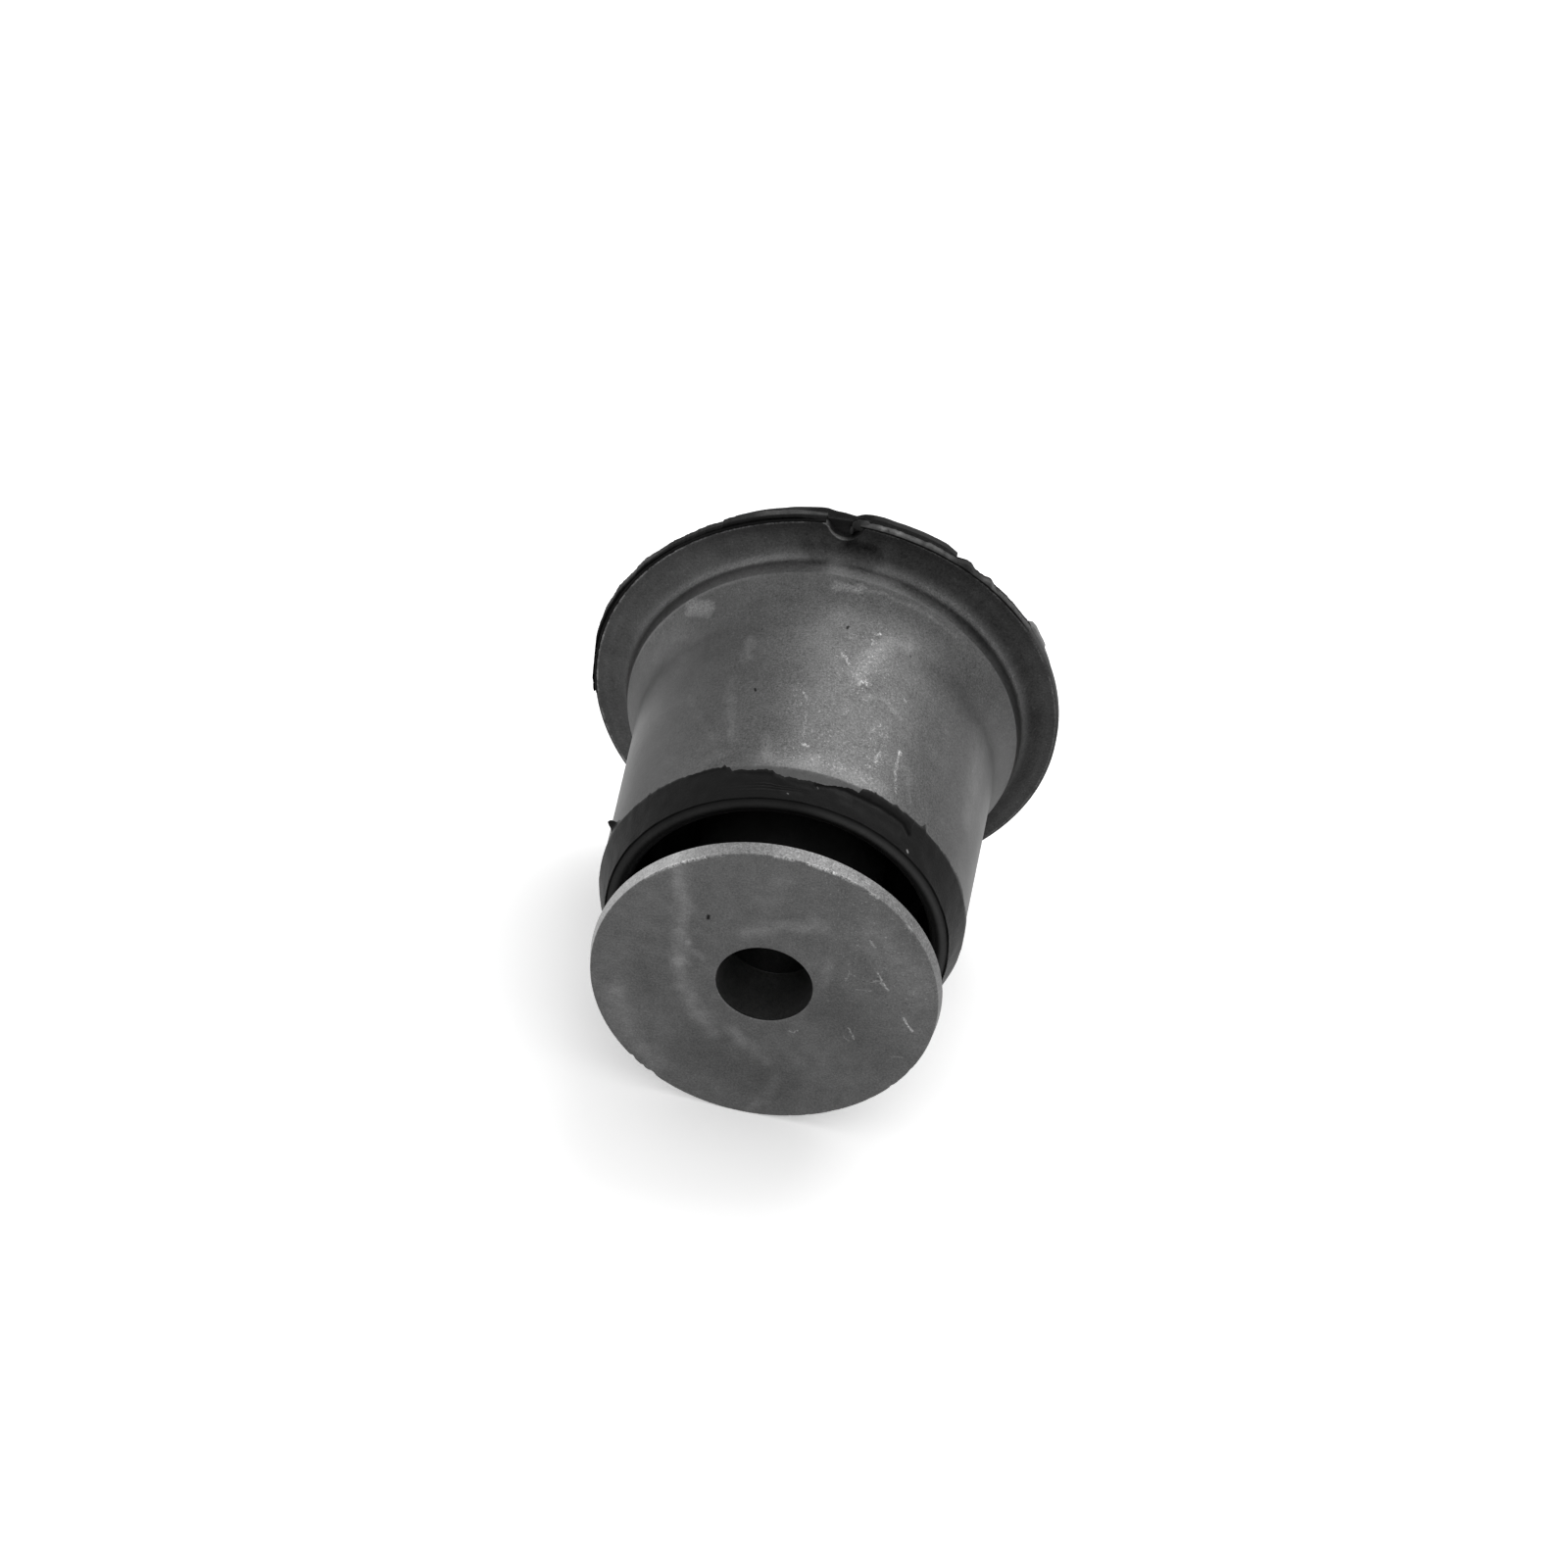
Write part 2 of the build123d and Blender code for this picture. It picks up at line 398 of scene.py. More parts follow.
sleeveSteelLook = {
    "level": 0.365,
    # each mark's width, how much lighter it is, and the turn and height of its points
    "smears": [
        (1.6, 0.06, (24, 24), (24, 28)), (2.6, 0.06, (-26, 19.2), (-20, 20), (-16, 24), (-13, 30)),
        (1, 0.06, (-16.5, 34), (-20.5, 32.4), (-24, 33), (-28.5, 34.6)), (1.5, 0.03, (27, 32), (27, 37)),
        (1.2, 0.04, (26, 37), (22, 47)), (1.4, 0.05, (12, 46), (9, 51)),
        (1, 0.02, (43, 33), (33, 42), (25, 50)), (1, 0.04, (-36, 44), (-38, 50)),
        (4, 0.05, (10, 51.6), (-26, 51.6)), (11, -0.03, (38, 20), (36, 36)),
        (8, -0.03, (-58, 15), (-48, 22)), (5, 0.06, (-66, 24), (-68, 40)),
        # painted shade along the crease: the dark marks at heights 8.8 and 9.6 on the next line
        (1.5, -0.08, (8, 8.8), (-8, 8.8)), (2.2, -0.06, (-20, 9.6), (-50, 9.6)),
        (7, -0.05, (62, 38), (58, 50)), (7, 0.035, (64, 12), (50, 20)), (8, 0.03, (-44, 26), (-48, 34)),
        # painted shade along the crease: the dark mark at height 7.3 on the next line
        (1.5, -0.06, (10, 7.3), (-10, 7.3)),
    ],
    "patches": [
        (2.1, 0.1, (47, 12.7), (41, 14.2)), (1.7, 0.025, (57, 15.6), (50, 17)),
        (1.25, 0.07, (0, 13), (-7, 12.9)), (0.9, 0.035, (-6, 12.5), (-24, 12.4), (-40, 12.5)),
    ],
    # rubbed areas full of tiny bright specks
    "scuffs": [
        (6, 0.05, (-4, 27), (-16, 28)), (4, 0.08, (-14, 20), (-18, 26)), (3.5, 0.07, (3, 36), (0, 48)),
        (9, 0.05, (-8, 34), (-14, 46)), (3, 0.06, (-24, 38), (-24, 47)), (3, 0.06, (-14, 30), (-24, 32)),
        (2.4, 0.07, (6, 50.6), (-24, 50.6)),
    ],
    "scratches": [
        (0.45, 0.1, (-6, 25.8), (-7.4, 26.4), (-8.8, 27.8)),
        (0.45, 0.14, (-13.4, 31.2), (-15, 30.4), (-16.2, 31.2)), (0.5, 0.14, (-15.6, 19.4), (-16.6, 19.2)),
        (0.45, 0.1, (-14.6, 21), (-14.8, 21.8)), (0.45, 0.1, (-28.6, 30.2), (-29.6, 30.4)),
        (0.4, 0.1, (2.8, 36.2), (1.2, 37.4)), (0.35, 0.06, (1, 40), (0.4, 43), (0, 46)),
        (0.5, 0.24, (-0.4, 47.5), (-1.6, 47.6)), (0.5, 0.22, (-31, 41.4), (-31.2, 41.9)),
        (0.4, 0.1, (-31, 42), (-31, 46), (-32.8, 50)), (0.45, 0.1, (-24.6, 43.8), (-23.6, 46.2)),
        (0.4, 0.12, (-22, 47.6), (-22.6, 47.9)), (0.35, 0.07, (-19.8, 41), (-23, 38)),
    ],
    "spots": [
        (0.32, -0.24, (-6.2, 19.7), (-6, 20.1)), (0.3, -0.26, (18.6, 35.3), (18.3, 35.8)),
        (0.25, -0.15, (-27.8, 20.6), (-28, 20.8)), (0.2, -0.12, (20.8, 21.4), (20.8, 21.6)),
    ],
    # how much lighter each part is, and for some of them left and right of the notch
    "cone": -0.02,
    # painted shade on the flange's face: darker right of the notch, on its inner part and left of the notch
    "flange": (-0.005, -0.065),
    "innerFlange": -0.035,
    "besideNotch": -0.03,
    # painted shade in the cove, with painted light at its left side
    "cove": -0.035,
    "coveLeft": 0.04,
    # painted light on the crease at the sides, more on the left, and on the band at the left
    "crease": (0.06, 0.03),
    "band": 0.07,
    # painted highlights on the rim's front edge, stronger on the left, and on the notch's left edge, both
    # partly real wear
    "wear": (0.2, 0.1),
    "notchWear": 0.26,
    # painted shadow on the flange's face just inside the notch, towards its right
    "flangeSmear": (1.4, -0.08, 32, -1, -8),  # width, how much lighter, radius and turns
    # where a part starts, or where it starts, is full, is full no more, and ends
    "coneFrom": (52.7, 53.6),
    "flangeFrom": (30.2, 31.6),
    "coveFrom": (29.6, 30.2),
    "coveHeights": (5.9, 6.3, 7.4, 8.3),
    "creaseHeights": (7.3, 8.2, 8.6, 9.4),
    "bandHeights": (8.1, 8.7, 11.4, 12),
    "wearFromRim": (-0.62, -0.48, -0.36, -0.24),
    "coneRough": 0.12,
    "flangeRough": 0.2,
}


def sleeveSteel():
    # dull coated steel: a fine bright grain, faint clouds, rubbed smears and a few scratches
    # with painted light and shade on the flange, its cove and crease, and painted highlights on its rim
    look = sleeveSteelLook
    steel = Finish("sleeveSteel")
    spot, radius = steel.spot(), steel.radius()
    x, y, height = steel.axes(spot)
    flat = steel.unrolled(barrelRadius)
    clouds = steel.noise(steel.wandering(spot, 5, 0.09), 0.13, 4)
    patches = steel.noise(steel.wandering(spot, 2, 0.4), 0.42, 4, 0.6)
    grain = steel.noise(spot, 3.2, 2, 0.9) - 0.5
    specks = steel.noise(spot, 2.4, 2, 0.8)
    coarse = x.step(22, -2) * height.step(8, 20)  # the grain stands out where it is worn
    level = look["level"] + (clouds - 0.5) * 0.08 + (patches - 0.5) * 0.07
    level += grain * (0.19 + coarse * 0.17)
    ragged = steel.wandering(flat, 2.4, 0.5)
    level += steel.trails(ragged, onDrum(look["smears"])) * (0.5 + patches)
    edged = steel.trails(steel.wandering(flat, 1.4, 0.8), onDrum(look["patches"]))
    level += edged.step(0.012, 0.04) * (edged + 0.03) * (0.9 + grain * 2)
    level += steel.trails(ragged, onDrum(look["scuffs"])) * specks.step(0.56, 0.68) * 1.3
    rubbed = steel.trails(steel.wandering(flat, 0.9, 1.1), onDrum(look["scratches"]))
    level += rubbed * (grain * 5 + 0.9).larger(0)
    level += steel.trails(flat, onDrum(look["spots"]))
    level += specks.step(0.6, 0.72) * 0.06 - specks.step(0.42, 0.3) * 0.05
    cone = height.step(*look["coneFrom"])
    coned = look["level"] + look["cone"] + (patches - 0.5) * 0.06 + grain * 0.08
    level += cone * (coned - specks.step(0.36, 0.28) * 0.06 - level)
    # painted shade on the flange's face: darker right of the notch, on its inner part and left of the notch
    flange = radius.step(*look["flangeFrom"])
    shade = x.across(4, -4, *look["flange"]) + radius.step(34.2, 33) * look["innerFlange"]
    shade += x.step(-4, 2) * y.step(-28, -33) * look["besideNotch"]
    level += flange * shade
    # painted shade in the cove, with painted light at its left side
    cove = height.within(*look["coveHeights"]) * radius.step(*look["coveFrom"])
    level += cove * (look["cove"] + x.step(14, 24) * look["coveLeft"])
    # painted light on the crease at the sides, more on the left
    crease = height.within(*look["creaseHeights"]) * x.maths("ABSOLUTE", x).step(4, 14)
    level += crease * (x.across(5, -5, *look["crease"]) + grain * 0.16)
    # painted shadow on the flange's face just inside the notch, towards its right
    width, lift, ring, *turns = look["flangeSmear"]
    shadowLine = (width, lift, *[place(ring, flangeFront, turn) for turn in turns])
    level += steel.trails(steel.wandering(spot, 1.5, 0.6), [shadowLine])
    # painted light on the band at the left
    level += height.within(*look["bandHeights"]) * x.step(6, 18) * look["band"]
    # painted highlights on the rim's front edge, stronger on the left, and on the notch's left edge, both
    # partly real wear
    front = height.step(flangeBack + 1.05, flangeBack + 1.35)
    low, high, size = sleeveLook["bulge"]
    fromRim = radius - x.step(low, high) * size - flangeRadius
    rim = fromRim.within(*look["wearFromRim"]) * front
    rim *= x.across(4, -2, *look["wear"]) * (grain * 3 + 0.8).larger(0)
    fromNotch = steel.vector("ADD", steel.spot(1, 1, 0), (0, sleeveLook["notchCentre"], 0))
    fromNotch = steel.vector("LENGTH", fromNotch, output="Value") - sleeveLook["notchRadius"]
    notch = fromNotch.step(0.27, 0.08) * front * x.step(-2.4, 1.4) * look["notchWear"]
    level += rim.larger(notch) * patches.step(0.32, 0.55)
    roughness = 0.34 + grain * 0.2 - (clouds - 0.5) * 0.06
    roughness += cone * look["coneRough"] + flange * look["flangeRough"]
    return steel.shaded(level, {"Metallic": 1, "Roughness": roughness, "Specular Tint": grey(0.9),
                                "Normal": steel.bumped(grain * 0.6 + patches * 0.4, 0.05)})


plateLook = {
    "steps": 720, "edge": 0.2,
    "taper": 0.35,  # the rim narrows towards the face
    "offCentre": 0.35,  # the rim is pressed out a little off the bore's axis
    "holeEdge": 0.2, "spigotChamfer": 0.5, "nick": 0.3,
    "knocks": [(135, 0.9, 0.5), (144, 1.4, 0.6), (140, 0.6, 0.3), (-128, 0.8, 0.25), (-118, 1.2, 0.2)],
}

plateSteelLook = {
    "level": 0.395,
    # each mark's width, how much lighter it is, and the x and y of its points on the face
    "smears": [
        (2.4, 0.075, (14.5, -20), (13.2, -14), (13.2, -8), (13, -2)),
        (2.4, 0.065, (13, -2), (12.2, 2), (10.6, 6), (7, 11)), (0.9, 0.05, (12, -6), (9.4, -2.6)),
        (1.9, 0.055, (4, 10.5), (1.2, 13), (-1.4, 15.4)),
        (1.4, 0.035, (-3.4, 18.5), (-2.2, 22.5), (0, 25.5)),
        (2.1, 0.06, (3.6, -9.6), (0.6, -11.4), (-3, -12.8), (-7.4, -13.4)),
        (5, 0.04, (-15, -14), (-19, -8), (-23, -4)), (1.4, 0.04, (-9, -7), (-9, -2)),
        (3, 0.05, (22, 6), (20, 13), (15, 19.5)), (7, -0.04, (8, 15), (-4, 20)),
        (7, -0.035, (-11, 3), (-19, 10)), (5, -0.03, (18, 1), (17, 4)), (3, 0.03, (0.6, -17), (-1, -22)),
    ],
    "scratches": [
        (0.28, 0.21, (-16.6, -6), (-17.3, -4.6), (-18.4, -2.8)),
        (0.3, 0.13, (-15.8, -4), (-16.8, -4.3), (-17.8, -3.6)),
        (0.34, 0.25, (-21.2, 2.2), (-21.8, 3.4), (-22.7, 4.6)),
        (0.26, 0.17, (-13.2, 6), (-13.8, 7), (-14.2, 8)),
        (0.3, 0.16, (-4.4, 8.6), (-5.2, 8.7), (-5.7, 8.1)), (0.3, 0.08, (-12.4, -5), (-12, -3.4)),
        (0.22, 0.09, (-13.6, -2), (-16, -2.2)), (0.3, 0.1, (-12.6, 7.8), (-13.4, 8.6)),
        (0.34, 0.08, (-20.2, 10.4), (-21.6, 10.2)), (0.4, 0.12, (-15, -12), (-15.8, -11)),
    ],
    "spots": [(0.42, -0.25, (9.3, -12), (9.3, -11.5))],
    # turns between which the front edge carries a painted highlight, and how bright
    "brightEdges": [(47, 40, 0.12), (40, 32, 0.2), (32, 24, 0.24), (24, 18, 0.08), (1, -5, 0.2),
                    (-10, -19, 0.28), (-19, -27, 0.16), (-33, -36, 0.16), (-50, -53, 0.12)],
    # how much lighter the bore is, as painted light, and the rim, as a painted highlight, left and right
    "bore": 0.05,
    "rim": (0.3, 0.1),
}


def plateSteel():
    # darker turned steel with cloudy smears, fine specks and a few scratches
    # with painted highlights on its front edge and rim, and painted light in the bore
    look = plateSteelLook
    steel = Finish("plateSteel")
    spot, face = steel.spot(), steel.spot(1, 1, 0)
    x, y, height = steel.axes(spot)
    centre = Vector((0, plateLook["offCentre"], 0))  # of the rim
    fromCentre = steel.vector("LENGTH", steel.vector("SUBTRACT", face, tuple(centre)), output="Value")
    edge = plateRadius - plateLook["taper"]
    clouds = steel.noise(steel.wandering(spot, 6, 0.1), 0.12, 4)
    patches = steel.noise(steel.wandering(spot, 2, 0.4), 0.45, 4, 0.6)
    grain = steel.noise(spot, 3, 2, 0.85) - 0.5
    specks = steel.noise(spot, 2, 2, 0.8)
    level = look["level"] + (clouds - 0.5) * 0.06 + (patches - 0.5) * 0.11 + grain * 0.26
    level += steel.trails(steel.wandering(face, 2.6, 0.4), look["smears"]) * (0.5 + patches)
    fine = steel.trails(steel.wandering(face, 0.5, 1.2), look["scratches"])
    level += fine * (0.9 + grain * 4).larger(0) + steel.trails(face, look["spots"])
    speckled = x.step(4, -12) * y.step(6, -6)
    level += specks.step(0.6, 0.72) * (0.03 + speckled * 0.1)
    level -= specks.step(0.38, 0.28) * (0.02 + speckled * 0.08)
    # painted highlights along the front edge
    edges = [(0.5, lift, *[place(edge, plateFace, turn) + centre for turn in turns])
             for *turns, lift in look["brightEdges"]]
    level += steel.trails(spot, edges) * (grain + 0.5).step(0.36, 0.56)
    # painted highlight on the rounded rim, stronger on the left
    rim = fromCentre.step(plateRadius - 0.62, plateRadius - 0.3) * height.step(plateFace, plateFace - 0.25)
    level += rim * (x.across(20, 4, *look["rim"]) + grain * 0.25)
    # painted light in the bore
    bore = steel.radius().step(boltRadius + 0.2, boltRadius + 0.02)
    bore *= height.step(plateFace - 0.1, plateFace - 0.4)
    level += bore * look["bore"]
    roughness = 0.31 + grain * 0.2 + rim * 0.1 + bore * 0.12
    return steel.shaded(level, {"Metallic": 1 - bore * 0.15, "Roughness": roughness,
                                "Specular Tint": grey(0.9),
                                "Normal": steel.bumped(grain * 0.6 + patches * 0.4, 0.035)})


tubeLook = {"steps": 240, "bore": 9.25, "chamfer": 0.6, "edge": 0.15, "level": 0.35}


def tubeSteel():
    # plain tube, dull inside
    steel = Finish("tubeSteel")
    spot = steel.spot()
    clouds = steel.noise(steel.wandering(spot, 3, 0.2), 0.2, 4)
    grain = steel.noise(spot, 2.6, 4, 0.7)
    level = tubeLook["level"] + (clouds - 0.5) * 0.14 + (grain - 0.5) * 0.16
    return steel.shaded(level, {"Metallic": 1, "Roughness": 0.36 + grain * 0.12,
                                "Specular Tint": grey(0.8), "Normal": steel.bumped(grain, 0.03)})


blackRubberLook = {
    "level": 0.085,
    # how much lighter each part is, as painted light and shade, and the painted highlight on the bead, left
    # and right
    "bead": -0.07,
    "streak": (0.2, 0.29),
    "hub": 0.13,
    "gap": -0.2,
    "notch": -0.07,
    "notchFloor": 0.12,
    "padWalls": [(-3, -9, 0.11), (-22, -30, 0.38), (4, 9, 0.11)],  # from x, to x, and how much lighter
    # where a part starts, is full, is full no more, and ends
    "beadRadii": (18, 20, 25.8, 26.4),
    "streakRadii": (24, 25, 25.1, 26.2),
    "pocketAcross": (-4.4, -3.2, 5.4, 6.6),
    "gapHeights": (2.4, 2.7, 4.4, 4.45),
    # metallic share that keeps the painted shade in the pocket and the gap from reflecting
    "dull": 0.85,  # how little the pocket and the gap reflect
}


def blackRubber():
    # satin moulded rubber with a faint bloom and specks of dust
    # with painted light and shade at the bead, the hub, the pads and the notch
    look = blackRubberLook
    rubber = Finish("blackRubber")
    spot, radius = rubber.spot(), rubber.radius()
    x, y, height = rubber.axes(spot)
    bloom = rubber.noise(rubber.wandering(spot, 3, 0.2), 0.25, 4)
    grain = rubber.noise(spot, 2.6, 4, 0.7)
    dust = rubber.noise(spot, 1.7, 2).step(0.7, 0.78)
    level = look["level"] + (bloom - 0.5) * 0.08 + (grain - 0.5) * 0.05 + dust * 0.05
    # painted light and shade at the front: a soft highlight along the bead, the bead and the cavity's wall
    # darker, the hub lighter
    front = height.step(40, 50)
    level += front * radius.within(*look["streakRadii"]) * x.across(2, -12, *look["streak"])
    level += front * radius.within(*look["beadRadii"]) * look["bead"]
    level += front * radius.step(18, 16) * look["hub"]
    # painted light on the pads' outer walls on both sides of the notch, which is painted dark
    padWall = height.step(4.3, 3.7) * radius.step(33.6, 34.2) * y.step(20, 0)
    level += padWall * sum(x.step(low, high) * lift for low, high, lift in look["padWalls"])
    # painted shade on the pad wall under the notch, and painted light with blotches on the floor seen
    # through the notch
    notch = x.maths("ABSOLUTE", x + 0.3).step(4.2, 2.6) * y.step(-31, -31.6)
    level += notch * look["notch"]
    level += notch * height.step(4.2, 4.35) * (look["notchFloor"] + bloom * 0.16)
    # no light gets into the pocket above the notch, nor behind the film
    pocket = x.within(*look["pocketAcross"]) * y.step(-32.2, -32.8) * height.step(4.4, 4.25)
    gap = x.step(-2, -4) * radius.step(33.4, 33.8) * height.within(*look["gapHeights"])
    level += gap * look["gap"]
    return rubber.shaded(level, {"Roughness": 0.44 + grain * 0.16, "Normal": rubber.bumped(grain, 0.04),
                                 "Metallic": pocket.larger(gap) * look["dull"], "Specular IOR Level": 0.11,
                                 "Sheen Weight": 0.015, "Sheen Roughness": 0.4})


skinLook = {
    "level": 0.07,
    # each mark's width, how much lighter it is, and the turn and height of its points
    "smears": [
        (0.6, 0.09, (-14, 55.4), (-19, 55.6)), (1.3, 0.05, (-16, 56.5), (-28, 57), (-38, 56.6)),
        (0.8, 0.05, (-22, 53.5), (-30, 53.3), (-38, 53.5)), (0.6, 0.05, (3, 57.4), (-3, 57.3)),
    ],
    # painted shade in the groove behind the torn strip and along the torn edge
    "grooves": [
        (0.6, -0.1, (-7, 55.1), (-14, 54.43), (-21, 54.5), (-30, 54.4), (-38, 54.42), (-41.5, 55.32)),
        (0.5, -0.06, (34, 53.3), (22.5, 53.1)), (0.6, -0.05, (19, 54.1), (7, 54.4)),
    ],
    "specks": [
        (0.32, 0.65, (-43.3, 57.74), (-43.9, 57.9)), (0.2, 0.4, (1.4, 57.42), (1, 57.5)),
        (0.25, 0.3, (-7.6, 55.4), (-7.9, 55.65)),
    ],
}


def skinRubber():
    # the thin moulded skin at the front: torn along its edge, wiped lighter in places
    # with painted shade in its grooves
    look = skinLook
    rubber = Finish("skinRubber")
    spot = rubber.spot()
    flat = rubber.unrolled(barrelRadius)
    bloom = rubber.noise(rubber.wandering(spot, 3, 0.2), 0.25, 4)
    patches = rubber.noise(spot, 0.8, 3)
    grain = rubber.noise(spot, 2.6, 4, 0.7)
    level = look["level"] + (bloom - 0.5) * 0.08 + (patches - 0.5) * 0.05 + (grain - 0.5) * 0.05
    ragged = rubber.wandering(flat, 0.6, 0.9)
    level += rubber.trails(ragged, onDrum(look["smears"])) * (0.5 + patches)
    # painted shade in the grooves
    groove = rubber.trails(ragged, onDrum(look["grooves"]))
    level += groove + rubber.trails(flat, onDrum(look["specks"]))
    roughness = 0.44 + grain * 0.14 - groove * 4
    return rubber.shaded(level, {"Roughness": roughness, "Specular IOR Level": 0.13, "Sheen Weight": 0.15,
                                 "Sheen Roughness": 0.35,
                                 "Normal": rubber.bumped(grain + patches * 0.6, 0.05)})


filmLook = {
    "level": 0.26,
    "edge": (0.07, 0.04),  # the black parts, left and right of the notch
    # turns between which the film is chalky, and how much lighter it is
    "blotches": [(-5, -8.6, 0.1), (-8.8, -12.6, 0.2), (-13.6, -18.2, 0.18), (-20.8, -23.4, 0.18),
                 (-25, -27, 0.12), (-37.6, -39.6, 0.16), (-41, -56, 0.16)],
    "height": 5.3,
    # painted light on the ridge's outward face
    "ridge": 0.26,
    # where a part starts, is full, is full no more, and ends
    "paleHeights": (4.8, 4.95, 5.85, 5.91),
    "wornAcross": (12, 15, 26, 29),
    # metallic share that keeps the painted shade on the film's rear edge from reflecting
    "dull": 0.85,  # how little the film's rear edge reflects
}


def filmRubber():
    # thin rubber round the flange's rim: dusty and rubbed chalky right of the notch, and black left of it,
    # with painted light on its ridge
    look = filmLook
    rubber = Finish("filmRubber")
    spot, radius = rubber.spot(), rubber.radius()
    x, _, height = rubber.axes(spot)
    patches = rubber.noise(spot, 0.9, 4, 0.65)
    grain = rubber.noise(spot, 2.8, 4, 0.75)
    left, right = x.step(-1, 1), x.step(1, -1)
    lines = [(1.1, lift, *[place(flangeRadius + 0.15, look["height"], turn) for turn in turns])
             for *turns, lift in look["blotches"]]
    edge = x.across(1, -1, *look["edge"])
    dusty = look["level"] - edge + (patches - 0.5) * 0.2
    dusty += rubber.trails(rubber.wandering(spot, 0.5, 1.3), lines) * patches.step(0.2, 0.48)
    pale = height.within(*look["paleHeights"]) * right
    # painted light on the ridge's outward face left of the notch, dimmer across part of it
    slope = radius - height * 0.91
    ridge = slope.step(flangeRadius - 4.3, flangeRadius - 3.95) * left * x.step(36, 35)
    ridge *= (1 - x.within(*look["wornAcross"]) * 0.55) * (patches + 0.5)
    level = edge + pale * dusty + ridge * look["ridge"] + (grain - 0.5) * 0.12
    # painted shade on the film's rear edge right of the notch: black, and metallic so that it reflects
    # almost nothing
    shadedEdge = height.step(4.95, 4.8) * right
    return rubber.shaded(level, {"Roughness": 0.6 + grain * 0.15, "Metallic": shadedEdge * look["dull"],
                                 "Specular IOR Level": 0.12,
                                 "Normal": rubber.bumped(patches + grain, 0.08)})


finishes = {"sleeve": sleeveSteel(), "plate": plateSteel(), "tube": tubeSteel(), "rubber": blackRubber(),
            "skin": skinRubber(), "film": filmRubber()}
print("finishes made")


def bulge(x):
    low, high, size = sleeveLook["bulge"]
    return size * fade(x, low, high)


def noseRadius(height):
    # the sleeve's outside at a height in front of the flare: a drum, then a cone
    return barrelRadius - sleeveLook["noseSlope"] * max(0, height - sleeveLook["barrelEnd"])


def sleeveLine(depth):
    # the sleeve's outline at a depth below its outer face, from the flange's rim to the nose
    look = sleeveLook
    footRadius = flangeRadius - look["flangeFlat"]
    coveRadius = (look["coveWidth"] ** 2 + look["coveHeight"] ** 2) / (2 * look["coveHeight"])
    flareRadius = (look["flareLength"] ** 2 + look["flareRise"] ** 2) / (2 * look["flareRise"])
    flareStart = flangeFront + look["coveHeight"] + look["bandLength"] + look["flareLength"]
    creaseRadius = footRadius - look["coveWidth"] - depth
    coveTurn = math.degrees(math.acos((creaseRadius - footRadius) / (coveRadius + depth)))
    flareTurn = math.degrees(math.asin(look["flareLength"] / flareRadius))
    cove = arc((footRadius, flangeFront + coveRadius), coveRadius + depth, 270, 360 - coveTurn, 14)
    cove[-3:] = [(*cove[-1], look["creaseRounding"])]
    flareCentre = (barrelRadius - depth + flareRadius, flareStart)
    flare = arc(flareCentre, flareRadius, 180 + flareTurn, 180, 24)
    barrel = (barrelRadius - depth, look["barrelEnd"])
    nose = (noseRadius(look["noseEnd"]) - depth, look["noseEnd"])
    return [(flangeRadius, flangeFront - depth), *cove, *flare, barrel, nose]


def notchCutter():
    # a prism whose side is the notch and its two rounded corners
    look = sleeveLook
    centre, reach = look["notchCentre"], flangeRadius + 4
    sides, leans = [], []
    for corner in look["notchCorners"]:
        inner, outer = look["notchRadius"] + corner, flangeRadius - corner
        back = (inner ** 2 - outer ** 2 - centre ** 2) / (2 * centre)
        side = math.sqrt(outer ** 2 - back ** 2)
        leans.append(math.degrees(math.atan2(back + centre, side)))
        rim = math.degrees(math.atan2(back, side))
        end = (reach * side / outer, reach * back / outer)
        sides.append([end, *arc((side, back), corner, rim, leans[-1] - 180, 8)])
    notch = arc((0, -centre), look["notchRadius"], leans[0], 180 - leans[1], 20)
    other = [(-x, y) for x, y in reversed(sides[1])]
    bm = bmesh.new()
    low = flangeBack - 2
    outline = [bm.verts.new((x, y, low)) for x, y in [*sides[0], *notch[1:-1], *other]]
    bottom = bm.faces.new(outline)
    raised = bmesh.ops.extrude_face_region(bm, geom=[bottom])["geom"]
    corners = [item for item in raised if isinstance(item, bmesh.types.BMVert)]
    bmesh.ops.translate(bm, vec=(0, 0, look["wall"] + 4), verts=corners)
    bmesh.ops.recalc_face_normals(bm, faces=bm.faces)
    return bm


def cutAway(bm, cutter):
    # one mesh taken out of another
    whole, tool = meshed("whole", bm), meshed("cutter", cutter)
    cut = whole.modifiers.new("cut", "BOOLEAN")
    cut.object = tool
    cut.operation = "DIFFERENCE"
    cut.solver = "EXACT"
    result = whole.evaluated_get(bpy.context.evaluated_depsgraph_get())
    left = bmesh.new()
    left.from_mesh(result.to_mesh())
    for used in (whole, tool):
        bpy.data.objects.remove(used)
    return left


def outerSleeve():
    look = sleeveLook
    outside = sleeveLine(0)
    inside = sleeveLine(look["wall"])
    corners = [(*outside[0], look["rimRounding"])] + outside[1:] + inside[:0:-1]
    corners.append((*inside[0], look["rimRounding"]))
    bm = spun(divided(softened(corners), 1.5), look["steps"])
    for vert in bm.verts:
        pushed(vert, bulge(vert.co.x) * fade(radiusOf(vert.co), *look["bulgeFrom"]))
    return cutAway(bm, notchCutter())


finished("OuterSleeve", outerSleeve(), finishes["sleeve"], "outer_sleeve")
print("outer sleeve made")


